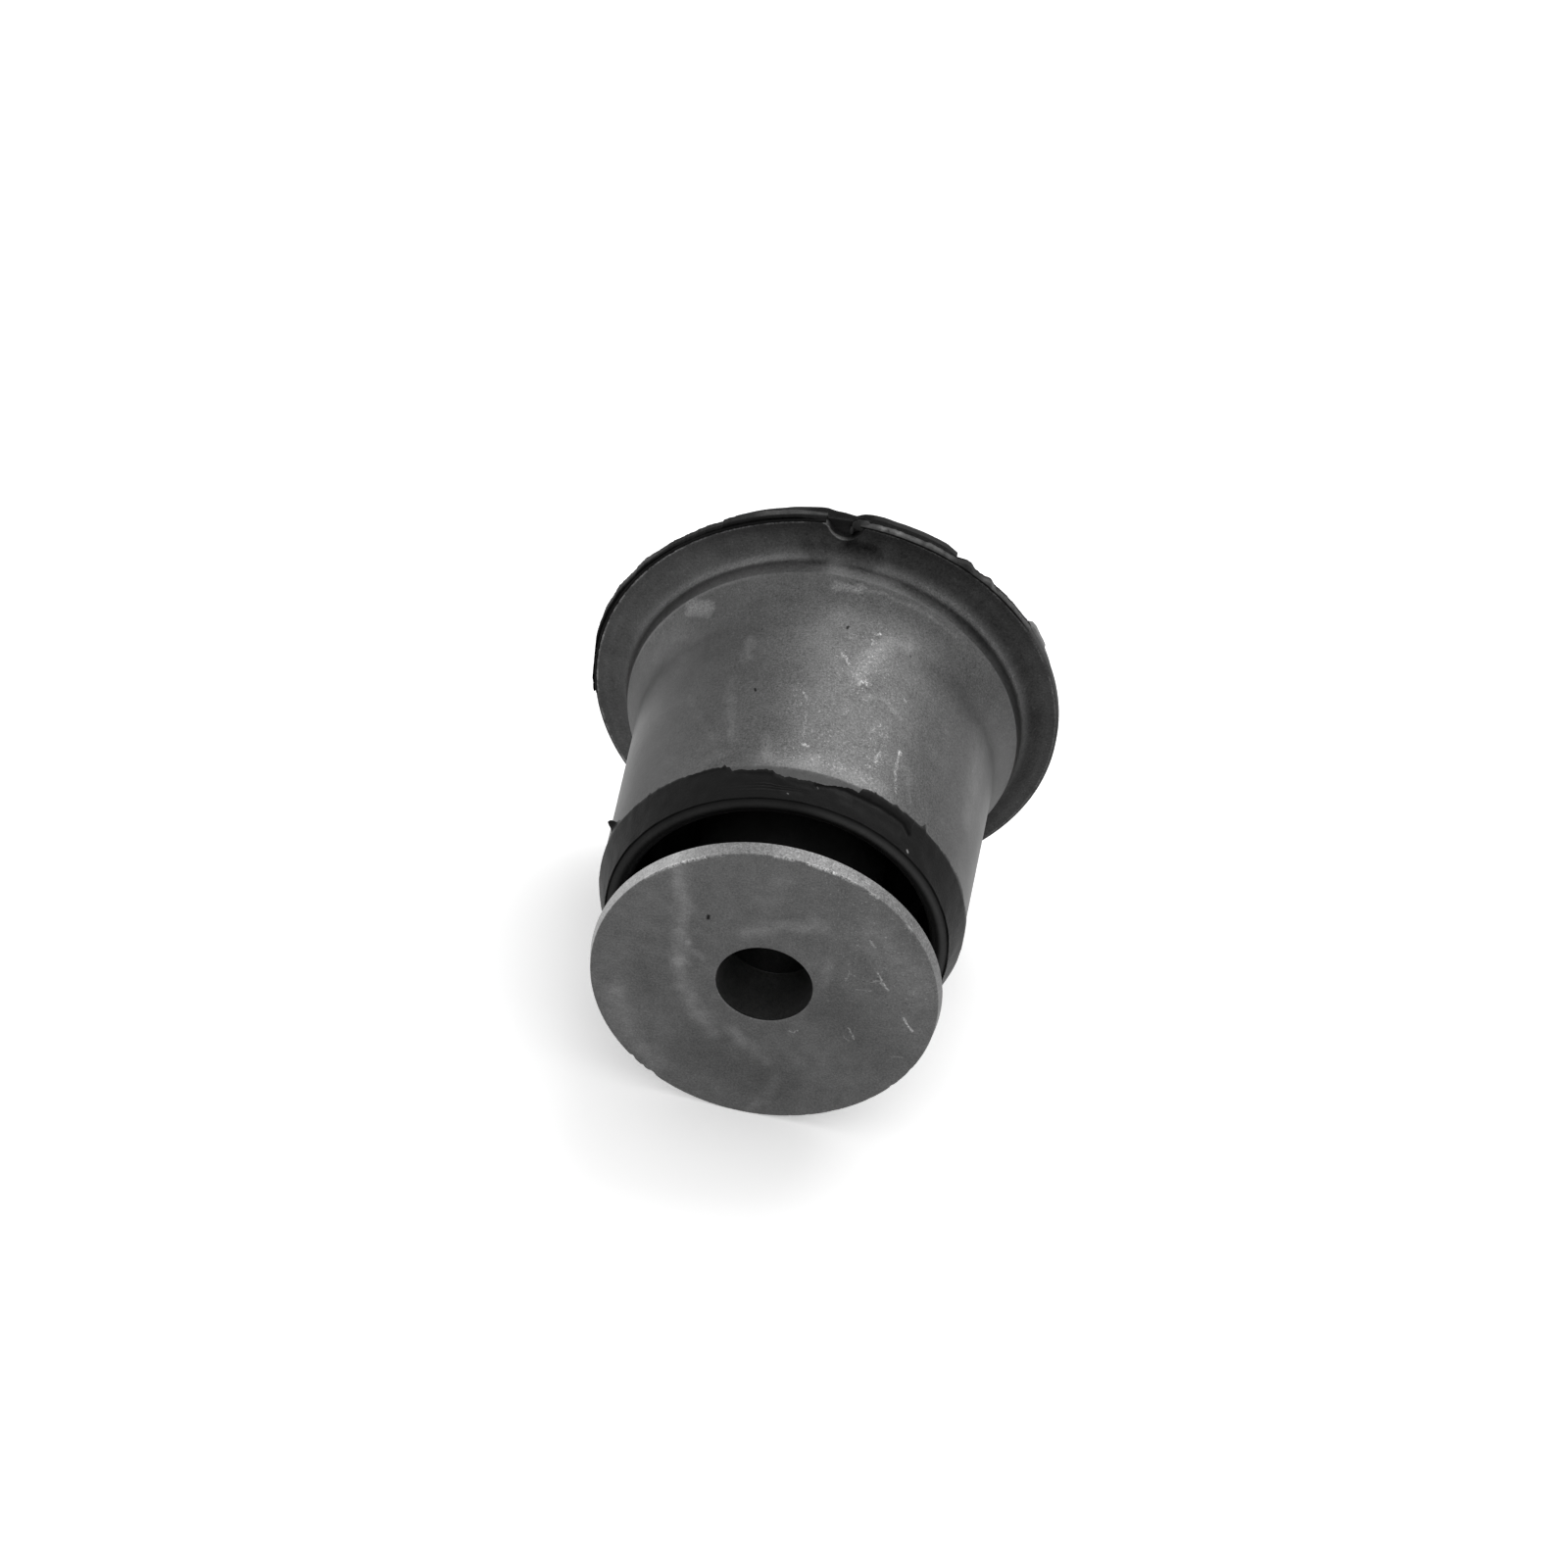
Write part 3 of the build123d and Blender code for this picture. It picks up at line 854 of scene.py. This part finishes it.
def innerSleeve():
    look = tubeLook
    bore, chamfer, edge = look["bore"], look["chamfer"], look["edge"]
    corners = [
        (bore + chamfer, 0, edge), (tubeRadius - chamfer, 0, edge), (tubeRadius, chamfer, edge),
        (tubeRadius, tubeLength - chamfer, edge), (tubeRadius - chamfer, tubeLength, edge),
        (bore, tubeLength), (bore, chamfer, edge),
    ]
    return spun(divided(softened(corners, 3), 4), look["steps"])


finished("InnerSleeve", innerSleeve(), finishes["tube"], "inner_sleeve")
print("inner sleeve made")


def endPlate():
    look = plateLook
    back = tubeLength
    spigot = tubeLook["bore"]
    faceRadius = plateRadius - look["taper"]
    corners = [
        (boltRadius, spigotEnd, look["holeEdge"]), (spigot - look["spigotChamfer"], spigotEnd),
        (spigot, spigotEnd + look["spigotChamfer"]), (spigot, back), (plateRadius, back, look["edge"]),
        (faceRadius, plateFace, look["edge"]), (boltRadius, plateFace, look["holeEdge"]),
    ]
    bm = spun(divided(softened(corners, 4), 1.2), look["steps"])
    for vert in bm.verts:
        # small nicks where the turned edge was knocked
        radius = radiusOf(vert.co)
        toEdge = math.hypot(radius - faceRadius, vert.co.z - plateFace)
        turn = turnOf(vert.co)
        worn = 0.3 * max(0, rough(turn, 0.9, 3) - 0.35) + 0.3 * max(0, rough(turn, 2.6, 4) - 0.4)
        worn += humps(turn, look["knocks"])
        near = 1 - fade(toEdge, look["edge"] * 0.5, look["edge"] * 2.4)
        pushed(vert, -look["nick"] * worn * near, -look["nick"] * worn * near)
        vert.co.y += look["offCentre"] * fade(radius, spigot + 2, faceRadius - 3)
    return bm


finished("EndPlate", endPlate(), finishes["plate"], "end_plate")
print("end plate made")

rubberLook = {
    "steps": 345,
    "skin": 0.2,  # how far the front skin stands off the barrel
    "lip": 59.4,
    "lipEdge": 58.5,  # where the front skin ends, at a thin crease
    "beadSize": (1.55, 1.8),  # half its width, and its height
    "beadSunk": 0.3, "cavityOuter": 23, "cavityDepth": 20.9, "cavityCorner": 3, "hubRubber": 1.5,
    "hubChamfer": 1, "rearFace": 3.9, "coatInset": 0.6, "rearGrooveWidth": 6.5,
    "rearGrooveDepth": 10, "edge": 0.3,
}


def rubberBody():
    look = rubberLook
    lip, rear = look["lip"], look["rearFace"]
    hub = tubeRadius + look["hubRubber"]
    grooveOuter = hub + look["rearGrooveWidth"]
    grooveRadius = look["rearGrooveWidth"] / 2
    grooveEnd = rear + look["rearGrooveDepth"] - grooveRadius
    wide, high = look["beadSize"]
    side, foot = look["cavityOuter"] + wide, lip - look["beadSunk"] - high
    bead = [(side + wide * across, foot + high * up) for across, up in arc((0, 0), 1, 35, 180, 16)]
    inside = sleeveLine(sleeveLook["wall"])
    nose = inside[-1]
    corners = [
        *inside[1:],
        (noseRadius(nose[1]) - 0.4, nose[1] - 0.2),
        *bead,
        (look["cavityOuter"], lip - look["cavityDepth"], look["cavityCorner"]),
        (hub, lip - look["cavityDepth"], look["cavityCorner"]),
        (hub, hubEnd - look["hubChamfer"], look["edge"]), (hub - look["hubChamfer"], hubEnd, look["edge"]),
        (tubeRadius, hubEnd), (tubeRadius, rear), (hub, rear, look["edge"]),
        *arc((hub + grooveRadius, grooveEnd), grooveRadius, 180, 0, 12),
        (grooveOuter, rear, look["edge"]), (flangeRadius - look["coatInset"], rear, look["edge"] / 2),
        (flangeRadius - look["coatInset"], flangeBack),
    ]
    return spun(divided(softened(corners), 3), look["steps"])


finished("RubberBody", rubberBody(), finishes["rubber"], "rubber_body")
print("rubber body made")

bandLook = {
    "steps": 1080,
    # turn and height of the torn rear edge, from one side to the other
    "edge": [(-180, 53), (-160, 53.6), (-140, 52.8), (-120, 53.4), (-100, 52.2), (-88, 50.8), (-80, 52.2),
             (-70, 52), (-62, 52.5), (-59, 52.2), (-55, 52.7), (-50, 52.9), (-44, 52.5), (-38, 52.7),
             (-30, 52.9), (-25, 52.7), (-21.4, 53.1), (-20.8, 53.9), (-14, 54.13), (-9, 54.66), (-2, 54.8),
             (3, 54.65), (6, 54.35), (7, 53.98), (13, 53.75), (20.2, 53.6), (21, 53), (27, 52.8), (34, 53),
             (40, 52.8), (48, 52.7), (56, 52.7), (62, 52.7), (66, 52.2), (70, 51.4), (72, 50.3), (74, 51.2),
             (78, 52), (84, 52.4), (90, 52.6), (110, 53.2), (130, 52.6), (150, 53.5), (180, 53)],
    "spikes": [(-46, 1.3, 1.1), (-26, 0.6, 0.4), (22.8, 0.8, 0.6), (51, 1, 0.5), (47, 1, 0.4),
               (29.5, 1.4, 0.3), (-34, 0.9, 0.3), (68.5, 1.6, 0.6), (118, 2.5, 0.9), (163, 1.4, 1.3),
               (-110, 2, 1.1), (-152, 3.5, 0.8)],
    "waves": [(3.5, 0.2, 11), (1.1, 0.24, 12), (0.5, 0.16, 13), (0.25, 0.08, 14)],
    "thickness": 0.14,
    "rings": 0.05,
    "flap": (72, 50.7, 1.1),  # turn, height and lift of a torn flap
    # the finish's first groove, behind the torn strip, is cut in too
    "grooveWidth": 0.55,
    "grooveDepth": 0.15,
}


def bandEdge(turn):
    # height of the torn edge at a turn, low where the rubber reaches further back
    look = bandLook
    height = between(look["edge"], turn) + waves(turn, look["waves"])
    for centre, width, length in look["spikes"]:
        height -= length * max(0, 1 - abs(turn - centre) / width)
    return height


def lipBand():
    look = bandLook
    body = rubberLook
    start, end = sleeveLook["barrelEnd"], body["lipEdge"]
    corners = [
        (-0.05, start), (look["thickness"], start + 0.01), (body["skin"], start + 0.5),
        (body["skin"], end - 0.05), (0.12, end), (-0.1, end - 0.6), (-0.25, end - 1.6), (-0.4, start + 1.5),
        (-0.05, start + 0.6),
    ]
    corners = [(noseRadius(height) + offset, height) for offset, height in corners]
    bm = spun(divided(corners, 0.16, 0.05), look["steps"])
    edges, grooves = {}, {}
    course = sorted(skinLook["grooves"][0][2:])
    for vert in bm.verts:
        turn = round(turnOf(vert.co), 2)
        if turn not in edges:
            edges[turn] = bandEdge(turn)
            grooves[turn] = between(course, turn)
        height = vert.co.z
        offset = radiusOf(vert.co) - noseRadius(height)
        shift = (edges[turn] - start) * (1 - fade(height, start + 0.2, end - 1.2))
        follow = noseRadius(height + shift) - noseRadius(height)
        if offset < look["thickness"] / 2:
            pushed(vert, follow, shift)
            continue
        swell = 0.07 * noise.noise(vert.co / 2.1) * fade(height, start, start + 1)
        mask = hump(turn, 7, 8) * fade(height, 55.4, 56) * (1 - fade(height, 57.1, 57.5))
        swell += look["rings"] * mask * math.sin(height * math.tau / 0.62)
        if grooves[turn] is not None:
            across = (height + shift - grooves[turn]) / look["grooveWidth"]
            swell -= look["grooveDepth"] * math.exp(-across ** 2)
            swell += 0.08 * fade(-across, 0.8, 1.8) * fade(height, start, start + 0.3)
        flapTurn, flapHeight, lift = look["flap"]
        swell += lift * hump(turn, flapTurn, 1.8) * hump(height + shift, flapHeight, 0.6)
        pushed(vert, follow + swell, shift)
    return bm


finished("LipBand", lipBand(), finishes["skin"])
print("lip band made")

padLook = {
    "inner": 22.5, "inset": 1, "gap": 20, "short": 60, "edge": 0.9, "sink": 0.4,
    # turn, and how far the outer wall stands back there: the torn end of one pad, the worn end
    # of the next one, and the cast groove in its middle
    "walls": [(-67, 0), (-66, -0.3), (-60, -0.4), (-58.6, -0.2), (-57.6, 0.95), (-49, 1.05), (-31, 0.6),
              (-29.5, 0.4), (-26.5, 0), (-6, 0), (-5.2, 0.05), (-4, 0.2), (-3, 0.5), (-2, 0.87),
              (-1, 0.8), (1, 0.6), (3, 0.5), (4, 0.35), (5.5, 0.05), (6.5, 0)],
}


def stopPad(middle, span):
    look = padLook
    rear = rubberLook["rearFace"]
    outer = flangeRadius - look["inset"]
    corners = [
        (look["inner"], padFoot, look["edge"]), (outer, padFoot, look["edge"]),
        (outer, rear + look["sink"]), (look["inner"], rear + look["sink"]),
    ]
    bm = spun(divided(softened(corners, 8), 1.2), round(span * 3), middle - span / 2, span)
    ends = [edge for edge in bm.edges if edge.calc_face_angle(0) > math.radians(60)]
    ends = [edge for edge in ends if min(vert.co.z for vert in edge.verts) < rear]
    bmesh.ops.bevel(bm, geom=ends, offset=look["edge"] * 0.6, segments=4, profile=0.5,
                    affect="EDGES", material=-1, clamp_overlap=True)
    for vert in bm.verts:
        turn = turnOf(vert.co)
        radius = radiusOf(vert.co)
        wear = 0.12 * rough(turn, 2.4, 31) * fade(radius, outer - 1.5, outer)
        depth = between(look["walls"], turn) or 0
        pushed(vert, wear - depth * fade(radius, outer - 2.5, outer - 0.4))
    return bm


for index in range(4):
    long = 180 - padLook["short"] - 2 * padLook["gap"]
    pad = stopPad(90 * index, long if index % 2 else padLook["short"])
    finished(f"StopPad{index + 1}", pad, finishes["rubber"])
print("stop pads made")

wrapLook = {
    "start": 4.9, "end": 100, "steps": 680, "edge": 0.1,
    "reach": 0.27,  # how far it laps over the flange's face
    "waves": [(2.2, 0.12, 21), (0.7, 0.1, 22), (0.3, 0.08, 24)],
    # turn, and how much thicker the lip is there
    "lip": [(4, -0.55), (11, -0.1), (31, 0), (31.6, -0.25), (38, -0.4), (44, -0.3), (50, -0.2), (55, -0.05),
            (60, -0.25), (66, 0.05), (75, 0.1), (82, 0.05), (88, -0.1), (101, -0.05)],
}


def rimWrap():
    # a lip of rubber over the flange's rim, with a furrow beside the steel
    look = wrapLook
    rear = rubberLook["rearFace"]
    rim = flangeRadius
    corners = [
        (rim - padLook["inset"], rear), (rim + 0.5, rear, look["edge"]), (rim + 0.6, 5, look["edge"]),
        (rim + 0.5, 5.45, look["edge"]), (rim + 0.32, 5.58, look["edge"] / 2), (rim + 0.2, 5.3),
        (rim + 0.07, 5.35), (rim + 0.03, flangeFront - 0.12), (rim - 0.1, flangeFront + 0.03),
        (rim - look["reach"], flangeFront + 0.03), (rim - look["reach"], flangeFront - 0.06),
        (rim - 0.12, flangeFront - 0.2), (rim - 0.12, flangeBack + 0.1),
        (rim - padLook["inset"], flangeBack + 0.1),
    ]
    span = look["end"] - look["start"]
    bm = spun(divided(softened(corners, 4), 0.3, 0.06), look["steps"], look["start"], span)
    for vert in bm.verts:
        turn = turnOf(vert.co)
        radius = radiusOf(vert.co)
        reach = fade(radius, rim + 0.1, rim + 0.5)
        torn = waves(turn, look["waves"]) + (between(look["lip"], turn) or 0)
        ragged = 0.1 * rough(turn, 0.6, 25) * (1 - fade(radius, rim - look["reach"], rim - 0.12))
        shared = bulge(vert.co.x) * fade(radius, rim - padLook["inset"], rim - look["reach"])
        pushed(vert, reach * torn + ragged + shared, reach * 0.15 * rough(turn, 3.1, 23))
        boxed(vert)
    return bm


finished("RimWrap", rimWrap(), finishes["film"])
print("rim wrap made")

filmPieceLook = {
    "start": -56, "end": -3.6, "steps": 420,
    "waves": [(1.6, 0.12, 41), (0.5, 0.1, 42)],
    # turn, width in degrees and size of thicker places
    "lumps": [(-31.6, 1.9, 0.62), (-35.8, 1.6, -0.1), (-38.8, 1, 0.45), (-22, 5, 0.08), (-10, 4, 0.08)],
    # inside the notch: turn, radius, height and half sizes of what fills its right side
    "fills": [(-3.9, 34.9, 4.75, (1.5, 1.15, 0.75)), (-1.5, 33.6, 4.9, (0.35, 0.75, 0.55))],
}


def rimFilm():
    # a thin film of rubber right of the notch, and the lump that it leaves in the notch
    look = filmPieceLook
    rim = flangeRadius
    corners = [
        (rim - 0.12, flangeBack + 0.05), (rim + 0.1, flangeBack + 0.1), (rim + 0.16, 5), (rim + 0.12, 5.6),
        (rim + 0.04, flangeFront - 0.06), (rim - 0.08, flangeFront + 0.03),
        (rim - 0.26, flangeFront + 0.03), (rim - 0.26, flangeFront - 0.06), (rim - 0.12, flangeFront - 0.2),
    ]
    start, end = look["start"], look["end"]
    bm = spun(divided(corners, 0.2, 0.05), look["steps"], start, end - start)
    for vert in bm.verts:
        turn = turnOf(vert.co)
        radius = radiusOf(vert.co)
        reach = fade(radius, rim, rim + 0.12)
        ragged = 0.1 * rough(turn, 0.6, 45) * (1 - fade(radius, rim - 0.26, rim - 0.12))
        swell = waves(turn, look["waves"]) + humps(turn, look["lumps"])
        swell -= 0.06 * (1 - fade(turn, start, -40)) + 0.12 * fade(turn, -6, end)
        pushed(vert, reach * swell + ragged, -0.06 * (1 - fade(turn, start, start + 8)))
    for turn, radius, height, sizes in look["fills"]:
        lump = bmesh.ops.create_icosphere(bm, subdivisions=4, radius=1)["verts"]
        bmesh.ops.scale(bm, vec=sizes, verts=lump)
        for vert in lump:
            vert.co *= 1 + 0.14 * noise.noise(vert.co * 1.6)
        bmesh.ops.rotate(bm, verts=lump, matrix=Matrix.Rotation(math.radians(turn), 3, "Z"))
        bmesh.ops.translate(bm, verts=lump, vec=place(radius, height, turn))
    for vert in bm.verts:
        boxed(vert)
    return bm


finished("RimFilm", rimFilm(), finishes["film"])
print("rim film made")

# The bush lies on a table that touches the flange's rim and the plate's edge.
floorLook = {"size": 1600, "turn": 175.3, "glow": 0.55, "paint": 0.8, "seenGlow": 0.27, "seenPaint": 0.88}


def floorFinish():
    look = floorLook
    floor = Finish("floor")
    mirrored = floor.rays("Glossy").larger(floor.rays("Transmission"))
    glow = floor.node("Emission", None, {"Strength": mirrored * look["glow"]})
    paint = floor.node("BsdfDiffuse", None, {"Color": grey(look["paint"])})
    plain = floor.node("AddShader", None, {0: glow, 1: paint})
    # what the camera sees is exposed until the paper is white
    bright = floor.node("BsdfDiffuse", None, {"Color": grey(look["seenPaint"])})
    twice = floor.node("AddShader", None, {0: bright, 1: bright})
    glow = floor.node("Emission", None, {"Strength": look["seenGlow"]})
    exposed = floor.node("AddShader", None, {0: glow, 1: twice})
    both = floor.node("MixShader", None, {0: floor.rays("Camera"), 1: plain, 2: exposed})
    clear = floor.node("BsdfTransparent")
    behind = floor.node("NewGeometry", output="Backfacing")
    surface = floor.node("MixShader", None, {0: behind, 1: both, 2: clear})
    floor.node("OutputMaterial", None, {"Surface": surface})
    return floor.owner


def makeFloor():
    look = floorLook
    low = place(flangeRadius, flangeBack + 0.3, look["turn"])
    high = place(plateRadius, plateFace - 0.3, look["turn"])
    up = place(1, 0, look["turn"] - 90).cross(high - low).normalized()
    bm = bmesh.new()
    bmesh.ops.create_grid(bm, x_segments=2, y_segments=2, size=look["size"])
    bmesh.ops.rotate(bm, verts=bm.verts, matrix=up.to_track_quat("Z", "Y").to_matrix())
    bmesh.ops.translate(bm, verts=bm.verts, vec=low)
    bmesh.ops.scale(bm, vec=(mm, mm, mm), verts=bm.verts)
    floor = meshed("floor", bm)
    floor.data.materials.append(floorFinish())
    floor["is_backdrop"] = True
    return up


up = makeFloor()
print("floor made, up is", [round(part, 4) for part in up])

worldLook = {"seen": 1, "light": 0.55}


def makeWorld():
    world = bpy.data.worlds.new("studio")
    bpy.context.scene.world = world
    sky = Finish("studio", world)
    seen = sky.rays("Camera").larger(sky.rays("Glossy")).larger(sky.rays("Transmission"))
    strength = worldLook["light"] + seen * (worldLook["seen"] - worldLook["light"])
    light = sky.node("Background", None, {"Color": grey(1), "Strength": strength})
    sky.node("OutputWorld", None, {"Surface": light})


makeWorld()

# size and distance in millimetres, and the direction that the lamp stands in from the bush
lampLook = {"size": 1100, "distance": 1200, "power": 5.2, "towards": (-0.27, -0.61, -0.74)}


def makeLamp():
    look = lampLook
    light = bpy.data.lights.new("key", "AREA")
    light.energy = look["power"]
    light.size = look["size"] * mm
    lamp = added("key", light)
    aim = Vector(look["towards"]).normalized()
    lamp.location = (aim * look["distance"] + Vector((0, 0, plateFace / 2))) * mm
    lamp.rotation_euler = aim.to_track_quat("Z", "Y").to_euler()


makeLamp()
print("lights made")

cameraLook = {
    "aim": (2.195, -16.79, 45),
    "turn": -4.7, "elevation": 47.672, "roll": 167.49, "distance": 1900.4, "lens": 292.5,
}


def makeCamera():
    look = cameraLook
    camera = added("camera", bpy.data.cameras.new("camera"))
    camera.data.lens = look["lens"]
    camera.data.sensor_width = 36
    rise = math.radians(look["elevation"])
    back = place(math.cos(rise), math.sin(rise), look["turn"])
    camera.location = (Vector(look["aim"]) + back * look["distance"]) * mm
    camera.rotation_mode = "QUATERNION"
    roll = Quaternion((0, 0, 1), -math.radians(look["roll"]))
    camera.rotation_quaternion = back.to_track_quat("Z", "Y") @ roll
    bpy.context.scene.camera = camera


makeCamera()
bpy.context.scene.view_settings.view_transform = "Standard"
print("camera made")

sizes = {"cad": cadBox, "visual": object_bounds()}
sizes = {name: [list(corner) for corner in box] for name, box in sizes.items()}
print("sizes written", sizes)
